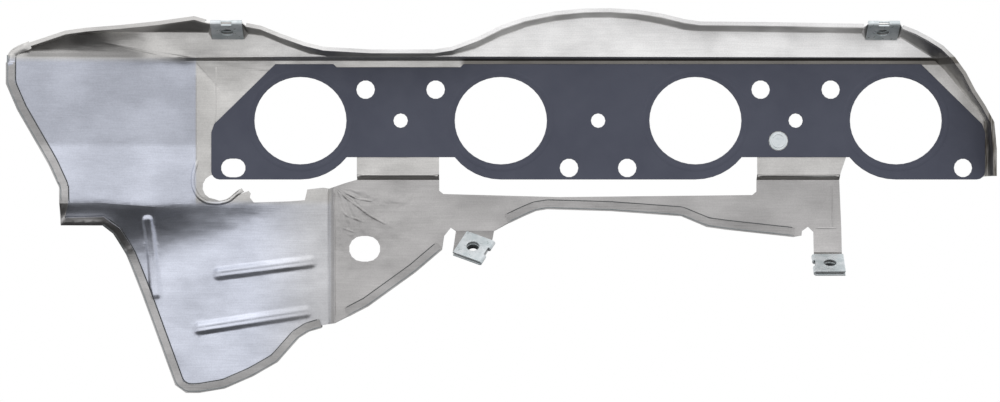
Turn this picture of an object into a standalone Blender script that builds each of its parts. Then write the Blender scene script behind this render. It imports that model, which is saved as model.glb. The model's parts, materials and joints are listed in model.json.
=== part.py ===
# Exhaust manifold gasket with a pressed heat shield and four clip nuts.
# Metres, +Z up, +X along the ports. The head is on the +Y side, the viewer on the -Y side.
import math

import bmesh
import bpy
import numpy as np
from mathutils import Matrix, Vector
from mathutils.geometry import delaunay_2d_cdt

MM = 0.001

# Ports, studs and pilot holes
PORT_PITCH = 97.0 * MM
PORT_MIDDLE_PITCH = 94.2 * MM
PORT_Z = 22.9 * MM
PORT_WIDTH = 44.6 * MM
PORT_FLAT = 1.15 * MM
STUD_HOLE = 9.0 * MM
STUD_PAIR = 33.9 * MM
STUD_TOP_Z = 37.9 * MM
STUD_LOW_PAIR = 28.2 * MM
STUD_END_INSET = 10.6 * MM
SLOT_LENGTH = 12.0 * MM
PILOT_HOLE = 7.0 * MM

# Gasket
GASKET_END = 43.1 * MM
GASKET_TOP = 50.2 * MM
GASKET_LOBE = 28.5 * MM
GASKET_WAIST = 5.2 * MM
GASKET_CORNER = 4.0 * MM
CHAMFER_RUN = 31.0 * MM
CHAMFER_DROP = 29.0 * MM
NOTCH_DEPTH = 1.5 * MM
LAYER = 0.6 * MM

# Shield sheet
SHEET = 0.6 * MM
GAP = 0.3 * MM
HOLE_CLEARANCE = 0.6 * MM
BASE_HIDDEN = 1.4 * MM
SHELF_RISE = 4.5 * MM
RIM_DEPTH = 20.0 * MM
RIM_HEM = 4.0 * MM
RIM_HEM_OUT = 1.8 * MM
LEFT_SLOPE = 0.21
LOWER_TILT = 0.05
LOWER_TILT_RUN = 9.0 * MM
LOWER_BEND_Z = 11.0 * MM
PANEL_DEPTH = -6.8 * MM
LOWER_DEPTH = -4.0 * MM
BEAD_HEIGHT = 2.2 * MM
BEAD_HALF = 4.8 * MM
BEAD_STEPS = (0.0, 0.3, 0.65, 1.0)
BEAD_SHARES = (1.0, 0.9, 0.35, 0.0)
OVAL_WIDTH = 15.2 * MM
OVAL_HEIGHT = 12.4 * MM

# Outer skin and mat
SKIN = 0.5 * MM
MAT = 1.2 * MM
HEM = 4.0 * MM
HEM_CLEARANCE = 0.9 * MM
HEM_GAP = 0.5 * MM
HEM_LIFT = 0.5 * MM
MAT_INSET = 2.0 * MM

# Rivet
RIVET_HEAD = 9.0 * MM
RIVET_SHANK = 5.4 * MM
RIVET_HEAD_HEIGHT = 0.5 * MM

# Clip nuts
NUT_WIDTH = 15.2 * MM
NUT_LEG = 14.0 * MM
NUT_SHEET = 0.8 * MM
NUT_BORE = 6.3 * MM
NUT_SLOT = 5.0 * MM
BOLT_CLEARANCE = 1.2 * MM

# Places worked out from the sizes
PORT_X = (-PORT_MIDDLE_PITCH / 2 - PORT_PITCH, -PORT_MIDDLE_PITCH / 2,
          PORT_MIDDLE_PITCH / 2, PORT_MIDDLE_PITCH / 2 + PORT_PITCH)
BETWEEN_X = PORT_MIDDLE_PITCH / 2 + PORT_PITCH / 2
GASKET_HALF = PORT_X[3] + GASKET_END
GASKET_BOTTOM = PORT_Z - GASKET_LOBE
STUD_END_X = GASKET_HALF - STUD_END_INSET
SHEET_BACK = LAYER + GAP
SHEET_FRONT = SHEET_BACK + SHEET
FRONT_LAYER = SHEET_FRONT + GAP
FRONT_FACE = FRONT_LAYER + LAYER
FOLD_Z = GASKET_TOP + 1.6 * MM
SHELF_Z = FOLD_Z + 1.5 * MM
LEFT_X = -GASKET_HALF - 7.5 * MM
JOGGLE_TOP = GASKET_BOTTOM + 2.4 * MM
JOGGLE_FOOT = GASKET_BOTTOM - 0.2 * MM
BRIDGE_INNER = BETWEEN_X - 18.6 * MM
BRIDGE_OUTER = BETWEEN_X + 21.2 * MM
SEAM_X = -131.0 * MM
SEAM_WIDTH = 3.0 * MM
NUT_BEND = SHEET / 2 + GAP + NUT_SHEET / 2
BOLT_AT = NUT_LEG / 2
MIDDLE_BEND_Z = -30.5 * MM
MIDDLE_TILT = math.radians(43)
MIDDLE_TURN = math.radians(26)
RIGHT_BEND_Z = -29.5 * MM
RIGHT_END_Z = -40.8 * MM
RIGHT_LEAN = 0.25
RIGHT_TILT = math.radians(58)
RIGHT_X = BRIDGE_OUTER + 1.4 * MM

# Foot and rim of the flange, from the left tip to the right end: foot x, foot z, rim x, rim z
FLANGE = (
    (-279.0, 55.2, -280.8, 56.8), (-271.5, 58.0, -274.0, 59.6), (-254.0, 63.6, -256.0, 65.6),
    (-246.0, 65.2, -246.0, 67.0), (-229.7, 65.4, -229.7, 68.3), (-212.0, 65.4, -212.0, 70.1),
    (-194.0, 65.3, -194.0, 72.6), (-188.4, 65.2, -188.4, 71.0), (-186.6, 62.2, -186.6, 69.0),
    (-170.8, 62.2, -170.8, 69.0), (-169.0, 64.6, -169.0, 69.3), (-162.0, 63.7, -162.0, 68.0),
    (-150.5, 58.9, -152.0, 64.0), (-139.3, 55.0, -141.0, 60.1), (-131.0, 53.8, -132.0, 57.9),
    (-109.0, 53.8, -109.0, 56.6), (-79.0, 53.8, -79.0, 56.6), (-70.7, 54.3, -70.7, 57.9),
    (-60.0, 57.2, -58.7, 62.4), (-46.9, 63.4, -46.9, 68.2), (-35.1, 67.8, -36.0, 71.9),
    (-21.2, 70.8, -21.2, 74.9), (-7.4, 72.3, -7.4, 76.2), (5.4, 72.5, 5.4, 76.4),
    (18.2, 71.5, 18.2, 75.6), (30.0, 69.3, 30.0, 73.8), (40.9, 66.6, 41.5, 71.0),
    (48.0, 65.9, 49.0, 70.0), (78.0, 65.4, 78.0, 69.8), (126.8, 64.8, 126.8, 68.9),
    (128.7, 62.0, 128.7, 68.7), (144.2, 62.0, 144.2, 68.7), (146.0, 62.6, 146.0, 68.2),
    (150.5, 59.9, 152.5, 65.6), (156.7, 55.9, 159.0, 62.1), (162.4, 52.4, 165.0, 58.3),
    (167.5, 47.5, 170.4, 53.0), (173.0, 41.0, 175.8, 45.6), (178.0, 34.8, 180.3, 37.0),
    (183.0, 29.0, 185.0, 29.8), (187.4, 21.5, 189.3, 21.8), (188.5, 9.0, 190.5, 9.0),
    (188.5, -4.0, 190.5, -4.0),
)
NUT_SPANS = (8, 30)

# Left silhouette, from the top tip down to the seam
LEFT_EDGE = (
    (-283.8, 53.9), (-283.8, 40.3), (-278.6, 27.9), (-263.9, 1.7),
    (-258.8, -9.5), (-258.8, -17.0), (-258.8, -27.4),
    (-239.3, -27.4), (-234.6, -31.4), (-228.8, -41.8), (-220.9, -61.9),
    (-205.1, -105.2), (-200.0, -108.9), (-193.7, -108.9), (-181.3, -106.8), (-167.7, -100.9),
    (-155.9, -94.1), (-145.4, -82.3), (-140.4, -79.2), (-134.3, -77.4),
)

# Lower edges of the triangle and the strip, from the seam to the right tab
TRIANGLE_EDGE = (
    (-128.0, -75.4), (-121.0, -71.7), (-111.6, -66.8), (-88.6, -50.2), (-75.8, -39.3),
)
MIDDLE_NOTCH = ((-74.6, -33.0), (-71.4, -29.0), (-68.9, -31.4))
STRIP_EDGE = (
    (-43.2, -26.4), (-35.8, -22.9), (-30.2, -20.5), (-24.6, -19.6), (6.4, -20.5), (40.5, -23.0),
    (52.9, -28.2), (62.1, -29.5), (95.0, -33.1),
)
RIGHT_NOTCH = ((98.9, -32.8), (99.1, -30.6), (102.0, -28.5), (104.6, -30.8))

# Lower side of the left window, from the round notch to the left bridge
LIP_EDGE = (
    (-181.4, -16.7), (-175.1, -13.3), (-169.4, -11.1), (-168.4, -12.4), (-168.9, -14.3),
    (-167.0, -16.7), (-149.7, -16.2), (-142.4, -15.6), (-141.2, -10.4), (-133.5, -9.5),
    (-130.6, -10.0), (-123.3, -7.5),
)
LIP_NOTCH = (-185.5, -9.2)
LIP_NOTCH_RADIUS = 6.0

# Dark riser of the left panel: x, top z, foot z
RISER = (
    (-290.0, -17.0, -54.0), (-239.0, -17.0, -42.0), (-225.0, -18.0, -38.0), (-212.0, -19.0, -35.5),
    (-195.5, -17.0, -34.8), (-178.5, -17.0, -31.0), (-162.0, -17.0, -24.8), (-147.5, -17.0, -18.5),
)
RISER_EDGE_X = -191.5
RISER_ROWS = (0.0, 0.5, 1.0)
RISER_DROP = (0.0, 0.56, 1.0)

# Beads of the lower left panel: start and end of each centre line
BEADS = (
    ((-216.9, -41.0), (-214.0, -57.0)),
    ((-183.5, -51.0), (-144.5, -46.2)),
    ((-191.0, -77.2), (-145.5, -70.5)),
)

OVAL_PLACE = (-113.2 * MM, -39.2 * MM)
RIVET_PLACE = (BETWEEN_X - 8.4 * MM, PORT_Z - 9.8 * MM)


def mm(points):
    # Points given in millimetres, as metres.
    return [tuple(value * MM for value in point) for point in points]


def ramp(value, low, high):
    return min(1.0, max(0.0, (value - low) / (high - low)))


def arc(centre, radius, start, end, steps):
    # Points of an arc, angles in degrees.
    angles = [math.radians(start + (end - start) * i / steps) for i in range(steps + 1)]
    return [(centre[0] + radius * math.cos(a), centre[1] + radius * math.sin(a)) for a in angles]


def circle(centre, diameter, steps):
    return arc(centre, diameter / 2, 0, 360 - 360 / steps, steps - 1)


def port_outline(x, grow):
    # An ellipse, a little wider than it is tall.
    wide = PORT_WIDTH / 2 + grow
    tall = PORT_WIDTH / 2 - PORT_FLAT + grow
    return [(x + wide * u, PORT_Z + tall * v) for u, v in circle((0.0, 0.0), 2.0, 40)]


def slot_outline(centre, length, width, steps):
    # A slot lying along x.
    reach = (length - width) / 2
    right = arc((centre[0] + reach, centre[1]), width / 2, -90, 90, steps)
    left = arc((centre[0] - reach, centre[1]), width / 2, 90, 270, steps)
    return right + left


def joint_holes(grow):
    # Ports, stud holes, the end slot and the pilot holes, widened by a clearance.
    holes = [port_outline(x, grow) for x in PORT_X]
    size = STUD_HOLE + 2 * grow
    for side in (-1, 1):
        for step in (-1, 1):
            holes.append(circle((side * BETWEEN_X + step * STUD_PAIR / 2, STUD_TOP_Z), size, 14))
        holes.append(circle((side * STUD_LOW_PAIR / 2, 0.0), size, 14))
    holes.append(circle((STUD_END_X, 0.0), size, 14))
    holes.append(slot_outline((-STUD_END_X, 0.0), SLOT_LENGTH + 2 * grow, size, 7))
    for x in (-BETWEEN_X, 0.0, BETWEEN_X):
        holes.append(circle((x, PORT_Z), PILOT_HOLE + 2 * grow, 12))
    return holes


def lobe_angle(inset):
    # Angle at which a lobe of the lower edge meets the waist.
    return math.degrees(math.asin((PORT_Z - GASKET_WAIST - inset) / (GASKET_LOBE - inset)))


def gasket_outline():
    turn = lobe_angle(0.0)
    corner = GASKET_CORNER
    top = GASKET_TOP
    low = GASKET_BOTTOM
    side = GASKET_HALF
    points = [(-side + CHAMFER_RUN, top), (-BETWEEN_X - 32.5 * MM, top)]
    points += [(-BETWEEN_X - 31.0 * MM, top - NOTCH_DEPTH), (-BETWEEN_X + 29.0 * MM, top - NOTCH_DEPTH)]
    points += [(-BETWEEN_X + 30.5 * MM, top), (side - CHAMFER_RUN, top)]
    points += [(side - 1.4 * MM, top - CHAMFER_DROP), (side, top - CHAMFER_DROP - 4.0 * MM)]
    points += arc((side - corner, low + corner), corner, 0, -90, 4)
    points += arc((PORT_X[3], PORT_Z), GASKET_LOBE, -90, -180 + turn, 6)
    points += arc((PORT_X[2], PORT_Z), GASKET_LOBE, -turn, -90, 6)
    points += arc((PORT_X[1], PORT_Z), GASKET_LOBE, -90, -180 + turn, 6)
    points += arc((PORT_X[0], PORT_Z), GASKET_LOBE, -turn, -90, 6)
    points += arc((-side + corner, low + corner), corner, -90, -180, 4)
    points += [(-side, top - CHAMFER_DROP - 4.0 * MM), (-side + 1.4 * MM, top - CHAMFER_DROP)]
    return points


def riser_at(x):
    # Top z, foot z and top depth of the riser at x.
    xs = [row[0] * MM for row in RISER]
    top = float(np.interp(x, xs, [row[1] * MM for row in RISER]))
    foot = float(np.interp(x, xs, [row[2] * MM for row in RISER]))
    depth = panel_depth(x)
    if x > RISER_EDGE_X * MM:
        share = ramp(x, RISER_EDGE_X * MM, RISER[-1][0] * MM)
        depth = SHEET_FRONT + (PANEL_DEPTH - SHEET_FRONT) * share
    return top, foot, depth


def panel_depth(x):
    # The left panel comes forward towards its outer edge.
    return SHEET_FRONT + LEFT_SLOPE * max(0.0, LEFT_X - x)


def bead_rise(x, z):
    # A bead is a rounded ridge along its centre line.
    rise = 0.0
    for start, end in BEADS:
        a = Vector((start[0] * MM, start[1] * MM))
        b = Vector((end[0] * MM, end[1] * MM))
        along = min(1.0, max(0.0, (Vector((x, z)) - a).dot(b - a) / (b - a).length_squared))
        away = (Vector((x, z)) - a.lerp(b, along)).length
        share = min(1.0, away / BEAD_HALF)
        rise = max(rise, BEAD_HEIGHT * float(np.interp(share, BEAD_STEPS, BEAD_SHARES)))
    return rise


def foot_z(x):
    return float(np.interp(x, [row[0] * MM for row in FLANGE[:40]], [row[1] * MM for row in FLANGE[:40]]))


def upper_depth(x, z):
    # Shelf above the gasket, and the wall above the left panel.
    shelf = SHEET_FRONT + SHELF_RISE * ramp(z, FOLD_Z, SHELF_Z)
    tip = FLANGE[0][0] * MM
    crease = SHEET_FRONT + SHELF_RISE + (RIM_DEPTH - 8.0 * MM) * ramp(-x, 242.0 * MM, -tip)
    top = max(foot_z(x), SHELF_Z + 1.0 * MM)
    wall = panel_depth(x) + (crease - panel_depth(x)) * ramp(z, SHELF_Z, top)
    share = ramp(x, LEFT_X - 14.0 * MM, LEFT_X + 6.0 * MM)
    return wall + (shelf - wall) * share


def lower_depth(x, z):
    # Joggle under the gasket, triangle, strip and the two nut tabs.
    depth = LOWER_DEPTH + (SHEET_FRONT - LOWER_DEPTH) * ramp(z, JOGGLE_FOOT, JOGGLE_TOP)
    if x < 0 and z < MIDDLE_BEND_Z and x > MIDDLE_NOTCH[0][0] * MM:
        depth = LOWER_DEPTH + math.tan(MIDDLE_TILT) * (MIDDLE_BEND_Z - z)
    if x > RIGHT_NOTCH[3][0] * MM - 0.1 * MM and z < RIGHT_BEND_Z:
        depth = LOWER_DEPTH + RIGHT_LEAN * (RIGHT_BEND_Z - max(z, RIGHT_END_Z))
        depth += math.tan(RIGHT_TILT) * max(0.0, RIGHT_END_Z - z)
    return depth


def left_depth(x, z):
    # Left panel, riser and beaded panel.
    top, foot, depth = riser_at(x)
    if z > LIP_NOTCH[1] * MM and x > LEFT_X:
        return SHEET_FRONT
    share = float(np.interp(ramp(-z, -top, -foot), RISER_ROWS, RISER_DROP))
    depth += LOWER_TILT * max(0.0, LOWER_BEND_Z - max(z, top)) * ramp(LEFT_X - x, 0.0, LOWER_TILT_RUN)
    return depth + (PANEL_DEPTH - depth) * share + bead_rise(x, z)


def depth_at(x, z):
    # Depth of the sheet's front face, towards the viewer from the head face.
    if z > FOLD_Z:
        return upper_depth(x, z)
    if x < SEAM_X:
        return left_depth(x, z)
    on_bridge = BRIDGE_INNER - MM < abs(x) < BRIDGE_OUTER + 2 * MM
    if z > JOGGLE_TOP or (z > JOGGLE_FOOT and not on_bridge):
        return SHEET_FRONT
    lower = lower_depth(x, z)
    if z < LIP_NOTCH[1] * MM and x < SEAM_X + SEAM_WIDTH:
        return PANEL_DEPTH + (lower - PANEL_DEPTH) * ramp(x, SEAM_X, SEAM_X + SEAM_WIDTH)
    return lower


def inside(points, loop):
    # Which points lie inside a closed loop.
    x, z = points[:, 0], points[:, 1]
    within = np.zeros(len(points), bool)
    for (x0, z0), (x1, z1) in zip(loop, loop[1:] + loop[:1]):
        crosses = (z0 > z) != (z1 > z)
        slope = (x1 - x0) / (z1 - z0) if z1 != z0 else 0.0
        within ^= crosses & (x < x0 + (z - z0) * slope)
    return within


def near(points, loops, reach):
    # Which points lie close to any of the loops.
    close = np.zeros(len(points), bool)
    for loop in loops:
        for a, b in zip(loop, loop[1:] + loop[:1]):
            a, b = np.array(a), np.array(b)
            run = b - a
            share = np.clip((points - a) @ run / max(run @ run, 1e-12), 0, 1)
            close |= np.linalg.norm(points - (a + share[:, None] * run), axis=1) < reach
    return close


def flat_net(outline, holes, lines, spacing):
    # A net of triangles over the outline, with creases along the lines.
    xs = np.array([p[0] for p in outline])
    zs = np.array([p[1] for p in outline])
    grid = np.zeros((0, 2))
    if spacing:
        across = np.arange(xs.min(), xs.max(), spacing)
        up = np.arange(zs.min(), zs.max(), spacing)
        grid = np.array([(x, z) for x in across for z in up])
        grid = grid[inside(grid, outline)]
        open_lines = [list(line) for line in lines]
        grid = grid[~near(grid, [outline] + holes, 0.45 * spacing)]
        grid = grid[~near(grid, open_lines, 0.45 * spacing)]
    verts = []
    edges = []
    for loop in [outline] + holes:
        first = len(verts)
        verts += [Vector(p) for p in loop]
        edges += [(first + i, first + (i + 1) % len(loop)) for i in range(len(loop))]
    for line in lines:
        first = len(verts)
        verts += [Vector(p) for p in line]
        edges += [(first + i, first + i + 1) for i in range(len(line) - 1)]
    verts += [Vector(p) for p in grid]
    points, _, faces, _, _, _ = delaunay_2d_cdt(verts, edges, [], 0, 1e-6)
    flat = np.array([(p[0], p[1]) for p in points])
    middle = np.array([flat[list(face)].mean(axis=0) for face in faces])
    keep = inside(middle, outline)
    for hole in holes:
        keep &= ~inside(middle, hole)
    return flat, [face for face, good in zip(faces, keep) if good]


def net_mesh(flat, faces, place):
    # A mesh of the net with each point set in space, facing the viewer.
    bm = bmesh.new()
    spot = bm.verts.layers.float_vector.new("flat")
    used = sorted({i for face in faces for i in face})
    made = {i: bm.verts.new(place(*flat[i])) for i in used}
    for i in used:
        made[i][spot] = (flat[i][0], 0.0, flat[i][1])
    for face in faces:
        bm.faces.new([made[i] for i in face])
    return bm, spot


def fold(bm, spot, edges, target):
    # Carries boundary edges on to new places, and gives back the new edges.
    grown = bmesh.ops.extrude_edge_only(bm, edges=edges)
    new_verts = [g for g in grown["geom"] if isinstance(g, bmesh.types.BMVert)]
    for vert in new_verts:
        vert.co = target(Vector(vert[spot]))
    return [g for g in grown["geom"] if isinstance(g, bmesh.types.BMEdge) and len(g.link_faces) == 1
            and all(v in new_verts for v in g.verts)]


def carry(flat_spot, line, other):
    # The place on another line that answers to a place on this one.
    best = None
    for i in range(len(line) - 1):
        a, b = Vector(line[i]), Vector(line[i + 1])
        here = Vector((flat_spot.x, flat_spot.z))
        share = ramp((here - a).dot(b - a), 0.0, (b - a).length_squared)
        away = (here - a.lerp(b, share)).length
        if best is None or away < best[0]:
            best = (away, Vector(other[i]).lerp(Vector(other[i + 1]), share))
    return best[1]


def border_edges(bm, spot, line):
    # Boundary edges that lie along a line of the outline.
    flat = np.array(line)
    found = []
    for edge in bm.edges:
        if len(edge.link_faces) != 1:
            continue
        ends = np.array([(v[spot][0], v[spot][2]) for v in edge.verts])
        both = np.vstack([ends, ends.mean(axis=0, keepdims=True)])
        distance = np.full(3, 1.0)
        for a, b in zip(flat[:-1], flat[1:]):
            run = b - a
            share = np.clip((both - a) @ run / max(run @ run, 1e-12), 0, 1)
            distance = np.minimum(distance, np.linalg.norm(both - (a + share[:, None] * run), axis=1))
        if distance.max() < 0.02 * MM:
            found.append(edge)
    return found


def add_material(obj, colour, metallic, roughness):
    material = bpy.data.materials.new(obj.name)
    material.use_nodes = True
    shader = material.node_tree.nodes["Principled BSDF"]
    shader.inputs["Base Color"].default_value = (*colour, 1.0)
    shader.inputs["Metallic"].default_value = metallic
    shader.inputs["Roughness"].default_value = roughness
    obj.data.materials.append(material)


def finish_sheet(name, bm, thickness, colour, metallic, roughness):
    # Turns the net into an object and gives it its thickness, behind the front face.
    bmesh.ops.recalc_face_normals(bm, faces=bm.faces)
    if sum(face.normal.y * face.calc_area() for face in bm.faces) > 0:
        bmesh.ops.reverse_faces(bm, faces=bm.faces)
    mesh = bpy.data.meshes.new(name)
    bm.to_mesh(mesh)
    bm.free()
    obj = bpy.data.objects.new(name, mesh)
    parts.objects.link(obj)
    shell = obj.modifiers.new("thickness", "SOLIDIFY")
    shell.thickness = thickness
    shell.offset = -1.0
    add_material(obj, colour, metallic, roughness)
    return obj


def gasket_layer(name, front):
    # One coated layer, with a window round the rivet.
    holes = joint_holes(0.0)
    holes.append(circle(RIVET_PLACE, RIVET_HEAD + 2 * GAP, 14))
    flat, faces = flat_net(gasket_outline(), holes, [], 0)
    bm, spot = net_mesh(flat, faces, lambda x, z: Vector((x, -front, z)))
    return finish_sheet(name, bm, LAYER, (0.08, 0.09, 0.12), 0.3, 0.45)


def base_lobes(inset):
    # Lower edge of the base, hidden behind the gasket's edge.
    turn = lobe_angle(inset)
    radius = GASKET_LOBE - inset
    return {
        "first": arc((PORT_X[0], PORT_Z), radius, -90, -turn, 6),
        "second": arc((PORT_X[1], PORT_Z), radius, -180 + turn, -90, 6),
        "third": arc((PORT_X[2], PORT_Z), radius, -90, -turn, 6),
        "fourth": arc((PORT_X[3], PORT_Z), radius, -148, -90, 6),
    }


def window_outlines():
    # The two openings under the gasket, one each side of the left bridge.
    lobes = base_lobes(BASE_HIDDEN)
    waist = GASKET_WAIST + BASE_HIDDEN
    low = GASKET_BOTTOM + BASE_HIDDEN
    notch = mm([LIP_NOTCH])[0]
    left = arc(notch, LIP_NOTCH_RADIUS * MM, 60, 270, 8)
    left += mm(LIP_EDGE)
    left += [(-BRIDGE_OUTER, JOGGLE_FOOT), (-BRIDGE_OUTER, JOGGLE_TOP), (-BRIDGE_OUTER, waist)]
    left += lobes["first"][::-1]
    left[0] = (notch[0] + LIP_NOTCH_RADIUS * MM / 2, low)
    right = [(-BRIDGE_INNER, waist), (-BRIDGE_INNER, JOGGLE_TOP), (-BRIDGE_INNER, JOGGLE_FOOT)]
    right += [(-BRIDGE_INNER, -11.0 * MM), (-BRIDGE_INNER + 2.0 * MM, -12.6 * MM), (-19.0 * MM, -14.1 * MM)]
    right += [(BRIDGE_INNER - 2.0 * MM, -13.1 * MM), (BRIDGE_INNER, -11.4 * MM)]
    right += [(BRIDGE_INNER, JOGGLE_FOOT), (BRIDGE_INNER, JOGGLE_TOP), (BRIDGE_INNER, waist)]
    right += lobes["third"][::-1] + lobes["second"][::-1]
    return left, right


def middle_frame():
    # Place of the lower middle nut: fold corner, and its along, across and outward directions.
    down = Vector((0.0, -math.sin(MIDDLE_TILT), -math.cos(MIDDLE_TILT)))
    right = Vector((1.0, 0.0, 0.0))
    along = -math.cos(MIDDLE_TURN) * right - math.sin(MIDDLE_TURN) * down
    across = -math.sin(MIDDLE_TURN) * right + math.cos(MIDDLE_TURN) * down
    bend = Vector((-60.6 * MM, -LOWER_DEPTH, MIDDLE_BEND_Z))
    outward = down.cross(right)
    reach = (NUT_WIDTH * math.cos(MIDDLE_TURN) + NUT_LEG * math.sin(MIDDLE_TURN)) / 2 + 1.0 * MM
    middle = bend + down * reach - outward * SHEET / 2
    return middle - along * NUT_LEG / 2, along, across, outward


def right_frame():
    # Place of the lower right nut, slid on from the left.
    down = Vector((0.0, -math.sin(RIGHT_TILT), -math.cos(RIGHT_TILT)))
    along = Vector((1.0, 0.0, 0.0))
    outward = down.cross(along)
    depth = lower_depth(RIGHT_X, RIGHT_END_Z)
    bend = Vector((RIGHT_NOTCH[3][0] * MM, -depth, RIGHT_END_Z))
    origin = bend + down * (NUT_WIDTH / 2 + 3.2 * MM) - outward * SHEET / 2
    return origin, along, down, outward


def top_frame(index):
    # Place of a top nut, slid down over the rim.
    a, b = FLANGE[index], FLANGE[index + 1]
    x = (a[0] + b[0]) * MM / 2
    foot = Vector((x, -depth_at(x, a[1] * MM), a[1] * MM))
    rim = Vector((x, -RIM_DEPTH, a[3] * MM))
    along = (foot - rim).normalized()
    across = Vector((1.0, 0.0, 0.0))
    outward = along.cross(across)
    if outward.z > 0:
        outward = -outward
    return rim - outward * SHEET / 2, along, across, outward


def middle_flange():
    # Outline of the lower middle tab, inside its nut.
    origin, along, across, _ = middle_frame()
    spots = [origin + along * (NUT_LEG + 0.5 * MM) + across * (NUT_WIDTH / 2 - 0.8 * MM),
             origin + along * 0.1 * MM + across * (NUT_WIDTH / 2 - 0.8 * MM),
             origin + along * 0.1 * MM - across * (NUT_WIDTH / 2 - 1.2 * MM)]
    return [(spot.x, spot.z) for spot in spots]


def right_flange():
    # Outline of the lower right tab, inside its nut.
    low = RIGHT_END_Z - math.cos(RIGHT_TILT) * (NUT_WIDTH + 2.4 * MM)
    left = RIGHT_NOTCH[3][0] * MM
    return [(left, RIGHT_END_Z), (left, low), (RIGHT_X, low), (RIGHT_X, RIGHT_END_Z)]


def offset_line(line, distance):
    # A line moved sideways, to the left of its run.
    moved = []
    for i, point in enumerate(line):
        before = Vector(line[max(i - 1, 0)])
        after = Vector(line[min(i + 1, len(line) - 1)])
        run = (after - before).normalized()
        moved.append((point[0] - run.y * distance, point[1] + run.x * distance))
    return moved


def sheet_left_edge(clearance):
    # The left silhouette, stepped in by the hem's clearance.
    return offset_line(mm(LEFT_EDGE), clearance)


def rim_lines():
    # Foot of the flange, its rim, and the outside of the rim's hem. The nuts' spans have no hem.
    foot = [(row[0] * MM, row[1] * MM) for row in FLANGE]
    outside = [(row[2] * MM, row[3] * MM) for row in FLANGE]
    rim = offset_line(outside, -RIM_HEM_OUT)
    for first in NUT_SPANS:
        for i in (first, first + 1):
            rim[i] = outside[i]
    runs = []
    start = 0
    for first in NUT_SPANS:
        runs.append((start, first - 1))
        start = first + 2
    runs.append((start, len(FLANGE) - 1))
    return foot, rim, outside, runs


def sheet_outline():
    # Outer edge of the shield sheet, clockwise from the left tip.
    lobes = base_lobes(BASE_HIDDEN)
    foot = [(row[0] * MM, row[1] * MM) for row in FLANGE]
    points = list(foot)
    points += [(GASKET_HALF - 1.0 * MM, GASKET_BOTTOM + BASE_HIDDEN)]
    points += lobes["fourth"][::-1]
    points += [(BRIDGE_OUTER + 1.2 * MM, GASKET_BOTTOM + 5.0 * MM), (BRIDGE_OUTER + 0.4 * MM, JOGGLE_TOP)]
    points += [(BRIDGE_OUTER + 0.4 * MM, JOGGLE_FOOT), (RIGHT_X, RIGHT_BEND_Z)]
    points += right_flange()[::-1]
    points += mm(RIGHT_NOTCH)[::-1]
    points += mm(STRIP_EDGE)[::-1]
    points += [(-50.4 * MM, MIDDLE_BEND_Z)]
    points += middle_flange()[::-1]
    points += [(MIDDLE_NOTCH[2][0] * MM, MIDDLE_BEND_Z)] + mm(MIDDLE_NOTCH[:2])[::-1]
    points += mm(TRIANGLE_EDGE)[::-1]
    points += sheet_left_edge(HEM_CLEARANCE)[::-1]
    return points


def bead_lines():
    # Ridge and foot of each bead.
    lines = []
    for start, end in BEADS:
        a = Vector(start) * MM
        b = Vector(end) * MM
        lines.append([tuple(a), tuple(b)])
        turn = math.degrees(math.atan2(b.y - a.y, b.x - a.x))
        for step in BEAD_STEPS[1:]:
            reach = BEAD_HALF * step
            loop = arc(a, reach, turn + 90, turn + 270, 4) + arc(b, reach, turn - 90, turn + 90, 4)
            lines.append(loop + loop[:1])
    return lines


def panel_lines():
    # Creases of the left and beaded panels.
    top = mm([(row[0], row[1]) for row in RISER])
    foot = mm([(row[0], row[2]) for row in RISER])
    rungs = [[a, b] for a, b in zip(top, foot)]
    rows = [[tuple(Vector(a).lerp(Vector(b), share)) for a, b in zip(top, foot)] for share in RISER_ROWS]
    bend = [(-290.0 * MM, LOWER_BEND_Z), (LEFT_X - LOWER_TILT_RUN, LOWER_BEND_Z), (LEFT_X, LOWER_BEND_Z)]
    edge = [(LEFT_X - LOWER_TILT_RUN, LOWER_BEND_Z), (LEFT_X - LOWER_TILT_RUN, -17.6 * MM)]
    return rows + rungs + [bend, edge] + bead_lines()


def sheet_lines():
    lines = panel_lines()
    end = FLANGE[38][0] * MM
    lines.append([(-290 * MM, SHELF_Z), (LEFT_X, SHELF_Z), (end, SHELF_Z)])
    lines.append([(LEFT_X - 14 * MM, FOLD_Z), (LEFT_X, FOLD_Z), (end, FOLD_Z)])
    lines.append([(LEFT_X, FOLD_Z), (LEFT_X, -34.0 * MM)])
    for side in (-1, 1):
        for z in (JOGGLE_TOP, JOGGLE_FOOT):
            lines.append([(side * (BRIDGE_INNER - 2 * MM), z), (side * (BRIDGE_OUTER + 2 * MM), z)])
    lines.append([(MIDDLE_NOTCH[2][0] * MM, MIDDLE_BEND_Z), (-50.4 * MM, MIDDLE_BEND_Z)])
    for z in (RIGHT_BEND_Z, RIGHT_END_Z):
        lines.append([(RIGHT_NOTCH[3][0] * MM - 1 * MM, z), (RIGHT_X + 1 * MM, z)])
    for x in (SEAM_X, SEAM_X + SEAM_WIDTH):
        lines.append([(x, LIP_NOTCH[1] * MM), (x, -80.0 * MM)])
    return lines


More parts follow.
